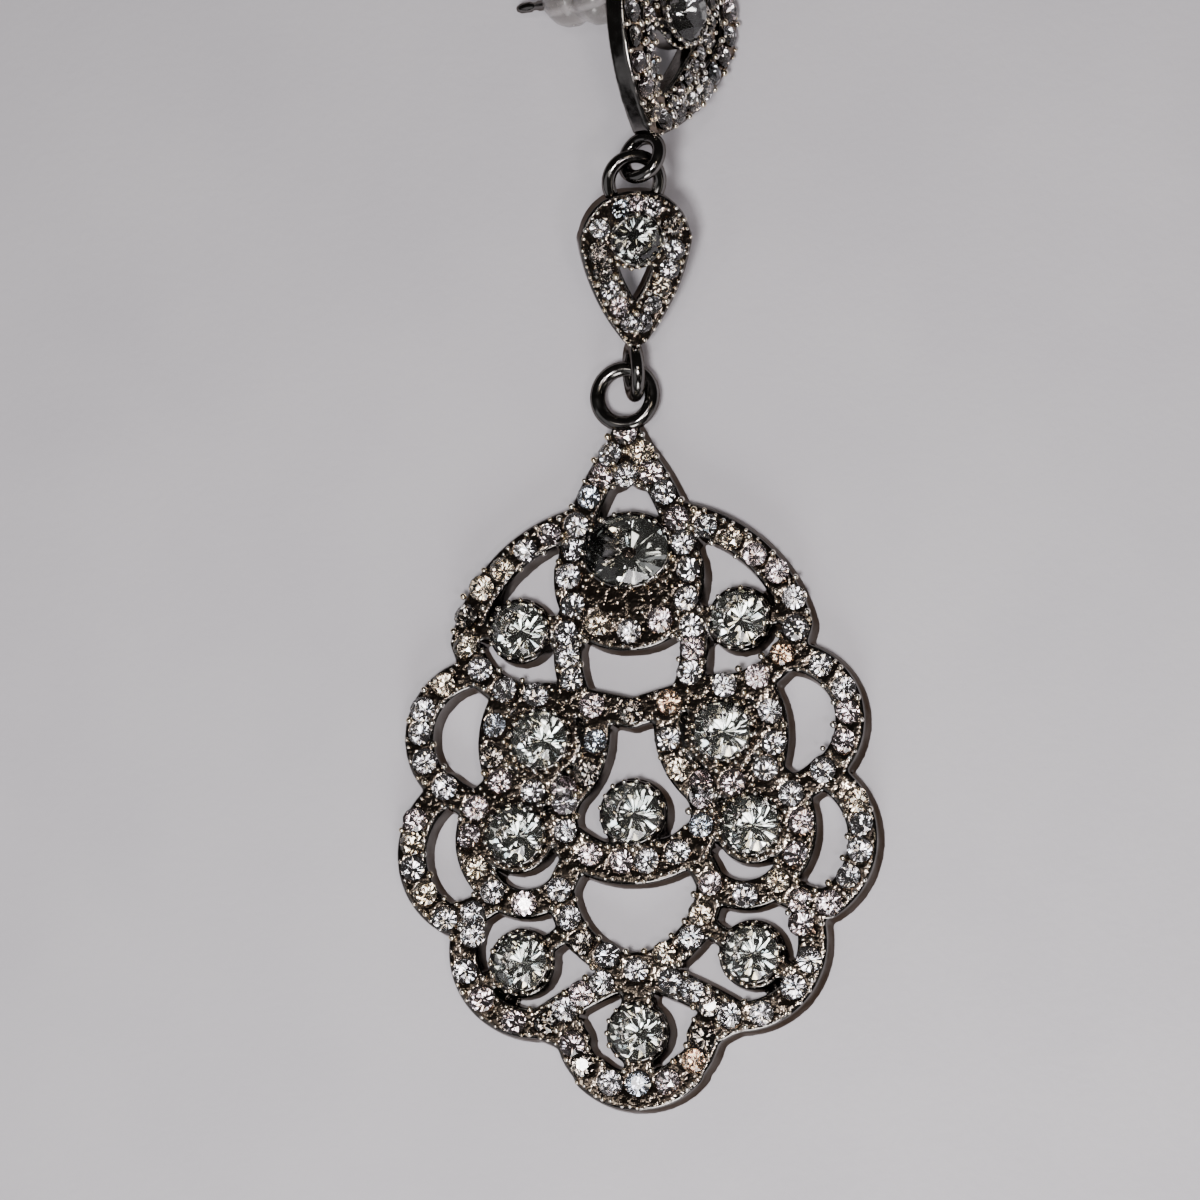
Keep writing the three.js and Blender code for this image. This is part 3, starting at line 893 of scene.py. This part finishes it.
def add_post(bm):
    post = [(0, -1.0), (0.4, -1.0), (0.4, 11.2), (0.3, 11.4), (0.3, 11.8), (0.4, 12.0), (0.38, 12.9),
            (0.25, 13.2), (0, -POST_END)]
    plate = [(0, -0.6), (1.6, -0.6), (1.6, 0.3), (1.5, 0.42), (0.8, 0.5), (0.45, 0.9), (0, 0.9)]
    turn_profile(bm, post, POST_X, POST_Y, 0, 24, False)
    turn_profile(bm, plate, POST_X, POST_Y, 0.5, 36, False)


make_casting("stud_casting", STUD_BANDS, 1.7, [STUD_STONE], stud_spots, [STUD_LOOP], STUD_PLACE,
             draft=-0.15, voxel=0.1, kept=0.5, extra=add_post)


# %% [markdown]
# The clutch is soft moulded plastic, milky with handling, so its glass-like shader is rough and pale.

# %% The clutch
def soft_plastic():
    finish = Finish("clear soft plastic", Metallic=0.0, Transmission_Weight=0.8, IOR=1.45)
    skin = finish.skin(400.0, 3000.0)
    finish.join(finish.mix(skin.outputs["Patches"], 0.18, 0.32), "Roughness")
    finish.join(finish.mix(skin.outputs["Patches"], (0.7, 0.68, 0.67), (0.58, 0.55, 0.54)), "Base Color")
    finish.bump(skin.outputs["Fine"], 0.1, 0.02 * MM)
    return finish.material


clutch = bmesh.new()
turn_profile(clutch, CLUTCH_PROFILE, POST_X, POST_Y, CLUTCH_START, 40, True)
bmesh.ops.recalc_face_normals(clutch, faces=clutch.faces)
finish_piece("clutch", clutch, STUD_PLACE, [soft_plastic()], ["ear_clutch"], smooth=50)

# %% [markdown]
# ## Table, light and camera
# The table is a pale, slightly grained surface. A small bright light close to the camera makes the
# stones flash, and a dark room around gives them their blacks. Soft lights fill the rest.

# %% The table
def table_top():
    finish = Finish("pale table")
    skin = finish.skin(60.0, 1500.0)
    finish.join(finish.mix(skin.outputs["Patches"], (0.62, 0.605, 0.65), (0.66, 0.645, 0.685)),
                "Base Color")
    finish.join(finish.mix(skin.outputs["Fine"], 0.6, 0.7), "Roughness")
    finish.bump(skin.outputs["Fine"], 0.15, 0.05 * MM)
    return finish.material


top = bmesh.new()
bmesh.ops.create_grid(top, x_segments=8, y_segments=8, size=1.5)
table_mesh = bpy.data.meshes.new("table")
top.to_mesh(table_mesh)
top.free()
table_mesh.materials.append(table_top())
table = bpy.data.objects.new("table", table_mesh)
bpy.context.scene.collection.objects.link(table)

# %% [markdown]
# The camera looks almost straight down, from a little to the right of the drop and below it. A long
# distance for its lens keeps the drop's outline from spreading.

# %% The camera
TO_CAMERA = Vector((0.239, -0.156, 0.958)).normalized()
TARGET = (Vector((-2.4, 37.3, 1.0)) + drop_foot) * MM
CAMERA_DISTANCE = 0.3
FRAME_WIDTH = 0.088
CAMERA_ROLL = -1.1


def looking(to_eye):
    """The turn of a camera or light that looks back along a direction, level from side to side."""
    right = Vector((0.970, 0, -0.242))
    right = (right - to_eye * right.dot(to_eye)).normalized()
    return Matrix((right, to_eye.cross(right), to_eye)).transposed()


camera_data = bpy.data.cameras.new("camera")
camera_data.sensor_width = 36
camera_data.lens = camera_data.sensor_width * CAMERA_DISTANCE / FRAME_WIDTH
camera_data.clip_start = 0.01
camera_data.clip_end = 10
camera = bpy.data.objects.new("camera", camera_data)
view = looking(TO_CAMERA) @ Matrix.Rotation(math.radians(CAMERA_ROLL), 3, "Z")
camera.matrix_world = Matrix.Translation(TARGET + TO_CAMERA * CAMERA_DISTANCE) @ view.to_4x4()
bpy.context.scene.collection.objects.link(camera)
bpy.context.scene.camera = camera
print("camera at", [round(value, 3) for value in camera.matrix_world.translation])

# %% [markdown]
# The flash lies near the camera and throws a short shadow. The boxes light the walls, and a ring of
# small tinted sparkle lamps round the camera is what the foiled facets throw back.

# %% The lights
LIGHTS = [
    ("flash", (0.12, -0.25, 0.955), 0.26, 0.035, 0.5, (1.0, 0.965, 0.955)),
    ("left box", (-0.71, -0.43, 0.555), 0.33, 0.28, 0.1, (0.97, 0.96, 1.0)),
    ("right box", (0.8, -0.45, 0.3), 0.3, 0.08, 0.01, (1.0, 0.93, 0.85)),
    ("near box", (0.1, -1.0, 0.42), 0.2, 0.08, 0.22, (1.0, 0.97, 0.97)),
    ("side spark", (-0.3, -0.16, 0.94), 0.34, 0.05, 0.035, (1.0, 0.95, 0.9)),
]


def add_light(name, direction, distance, size, power, color):
    data = bpy.data.lights.new(name, "AREA")
    data.size = size
    data.energy = power
    data.color = color
    lamp = bpy.data.objects.new(name, data)
    to_lamp = Vector(direction).normalized()
    turn = to_lamp.to_track_quat("Z", "Y").to_matrix()
    lamp.matrix_world = Matrix.Translation(TARGET + to_lamp * distance) @ turn.to_4x4()
    bpy.context.scene.collection.objects.link(lamp)


for row in LIGHTS:
    add_light(*row)
SPARKLE_TURN = 13
SPARKLE_DISTANCE = 0.34
SPARKLE_SIZE = 0.036
SPARKLES = [(0.14, (1.0, 0.9, 0.92)), (0.04, (1.0, 0.85, 0.65)), (0.1, (1.0, 0.95, 0.96)),
            (0.03, (0.8, 0.9, 1.0))]
for step, (power, color) in enumerate(SPARKLES):
    aside = Matrix.Rotation(math.tau * step / len(SPARKLES), 3, TO_CAMERA) @ TO_CAMERA.orthogonal()
    direction = Matrix.Rotation(math.radians(SPARKLE_TURN), 3, aside) @ TO_CAMERA
    add_light(f"sparkle {step + 1}", direction, SPARKLE_DISTANCE, SPARKLE_SIZE, power, color)
world = bpy.data.worlds.new("dark room")
world.use_nodes = True
world.node_tree.nodes["Background"].inputs["Color"].default_value = (0.03, 0.028, 0.027, 1)
bpy.context.scene.world = world

# %% [markdown]
# ## A last update
# The view layer is updated once more, so that every piece stands at its place.

# %% Update the view layer
bpy.context.view_layer.update()
